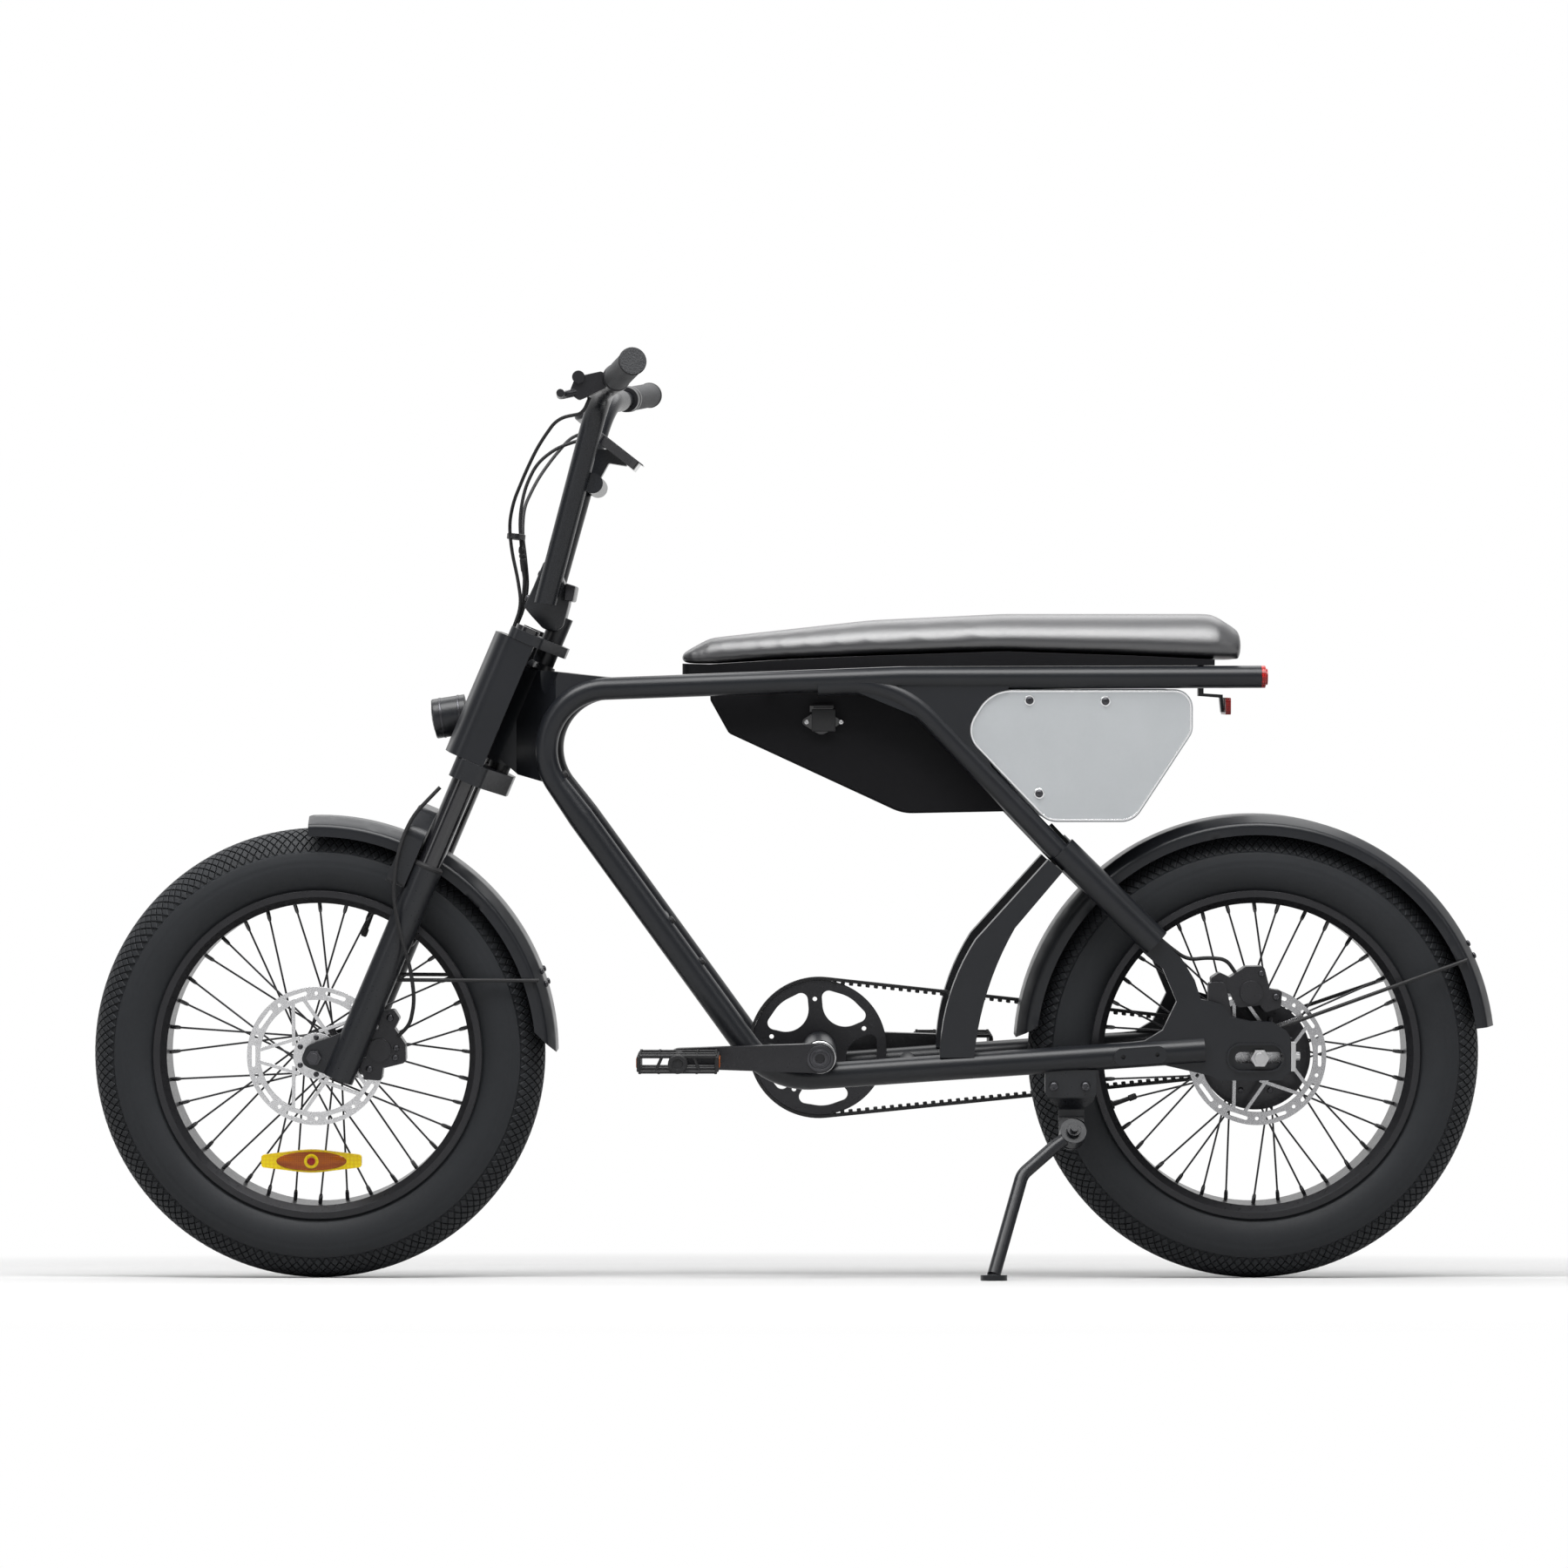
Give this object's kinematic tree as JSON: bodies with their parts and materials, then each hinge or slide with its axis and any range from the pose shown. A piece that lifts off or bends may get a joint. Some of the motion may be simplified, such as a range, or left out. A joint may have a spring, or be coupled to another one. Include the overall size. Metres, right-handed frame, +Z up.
{
  "type": "fat tire electric bike",
  "caption": "Low motorcycle-style electric bicycle with fat tyres, twin-loop frame, long bench seat, hub motor, belt drive and a tall handlebar, leaning on its side stand.",
  "frame": {"origin": "middle of the parked bike's bounding box, on the floor", "axes": "+X to the bike's front, +Y to the rider's left, +Z up; the bike leans 6 degrees to its left, onto its side stand"},
  "size_m": [1.8275, 0.7452, 1.2251],
  "materials": {
    "bar_black": "satin black",
    "battery_black": "satin black",
    "belt_rubber": "moulded",
    "box_black": "satin black",
    "brake_black": "anodised black",
    "cowl_black": "satin black",
    "crank_black": "satin black",
    "display_black": "gloss",
    "drive_black": "satin black",
    "fender_black": "satin powder coat",
    "fork_black": "satin black",
    "frame_black": "satin powder coat",
    "grip_rubber": "moulded",
    "hose_black": "smooth",
    "hub_black": "satin black",
    "lamp_black": "satin black",
    "lever_black": "anodised black",
    "nut_steel": "zinc plated",
    "panel_silver": "bead blasted with a polished edge",
    "pedal_plastic": "moulded",
    "port_black": "moulded",
    "reflector_amber": "clear yellow with an orange reflex lens",
    "reflector_red": "prismatic red",
    "rim_black": "satin black",
    "rotor_steel": "ground steel",
    "seat_leather": "fine grain",
    "seat_pan": "moulded",
    "small_black": "satin black",
    "stanchion_black": "gloss black",
    "stand_black": "satin black",
    "tail_red": "clear red",
    "tyre_rubber": "moulded matte rubber"
  },
  "bodies": {
    "frame": {"axle_tensioners": "nut_steel", "battery_case": "battery_black", "bb_shell": "frame_black", "belt": "belt_rubber", "carrier_plate_left": "frame_black", "carrier_plate_right": "frame_black", "charge_port": "port_black", "controller_box": "box_black", "cross_tubes": "frame_black", "frame_left": "frame_black", "frame_right": "frame_black", "neck": "frame_black", "rear_axle": "nut_steel", "rear_brake_hose": "hose_black", "rear_caliper": "brake_black", "rear_fender": "fender_black", "rear_fender_stays": "small_black", "rear_reflector": "reflector_red", "reflector_bracket": "small_black", "seat_base": "seat_pan", "seat_cushion": "seat_leather", "side_panel_left": "panel_silver", "side_panel_right": "panel_silver", "stand_bracket": "stand_black", "tail_lights": "tail_red"},
    "steering": {"fork_crowns": "fork_black", "stanchions": "stanchion_black", "fork_lowers": "fork_black", "cowl": "cowl_black", "headlight": "lamp_black", "stem": "fork_black", "handlebar": "bar_black", "grip_left": "grip_rubber", "grip_right": "grip_rubber", "brake_lever_left": "lever_black", "brake_lever_right": "lever_black", "display": "display_black", "display_bracket": "small_black", "front_fender": "fender_black", "front_fender_stays": "small_black", "front_axle": "nut_steel", "front_caliper": "brake_black", "front_brake_hose": "hose_black", "bar_cables": "hose_black"},
    "front_wheel": {"front_tyre": "tyre_rubber", "front_rim": "rim_black", "front_hub": "hub_black", "front_rotor": "rotor_steel", "wheel_reflector": "reflector_amber"},
    "rear_wheel": {"rear_tyre": "tyre_rubber", "rear_rim": "rim_black", "rear_hub": "hub_black", "rear_rotor": "rotor_steel", "rear_pulley": "drive_black"},
    "crank": {"crank": "crank_black", "chainring": "drive_black"},
    "left_pedal": {"left_pedal": "pedal_plastic"},
    "right_pedal": {"right_pedal": "pedal_plastic"},
    "stand": {"stand_leg": "stand_black"}
  },
  "joints": [
    {"name": "steering", "type": "hinge", "parent": "frame", "child": "steering", "pos_m": [0.35903, -0.04617, 0.72418], "axis": [-0.3907, 0.0962, 0.9155], "range_deg": [-25, 25]},
    {"name": "front_wheel_spin", "type": "hinge", "parent": "steering", "child": "front_wheel", "pos_m": [0.61883, -0.09142, 0.29365], "axis": [0, 0.9945, -0.1045], "continuous": true},
    {"name": "rear_wheel_spin", "type": "hinge", "parent": "frame", "child": "rear_wheel", "pos_m": [-0.60317, -0.09142, 0.29365], "axis": [0, 0.9945, -0.1045], "continuous": true},
    {"name": "crank_spin", "type": "hinge", "parent": "frame", "child": "crank", "pos_m": [-0.03517, -0.09121, 0.29564], "axis": [0, 0.9945, -0.1045], "continuous": true},
    {"name": "left_pedal_spin", "type": "hinge", "parent": "crank", "child": "left_pedal", "pos_m": [0.14583, 0.08084, 0.27755], "axis": [0, 0.9945, -0.1045], "continuous": true},
    {"name": "right_pedal_spin", "type": "hinge", "parent": "crank", "child": "right_pedal", "pos_m": [-0.21617, -0.26326, 0.31372], "axis": [0, 0.9945, -0.1045], "continuous": true},
    {"name": "stand_fold", "type": "hinge", "parent": "frame", "child": "stand", "pos_m": [-0.36117, -0.00211, 0.18673], "axis": [-0.0912, 0.917, 0.3884], "range_deg": [0, 108.72]}
  ]
}
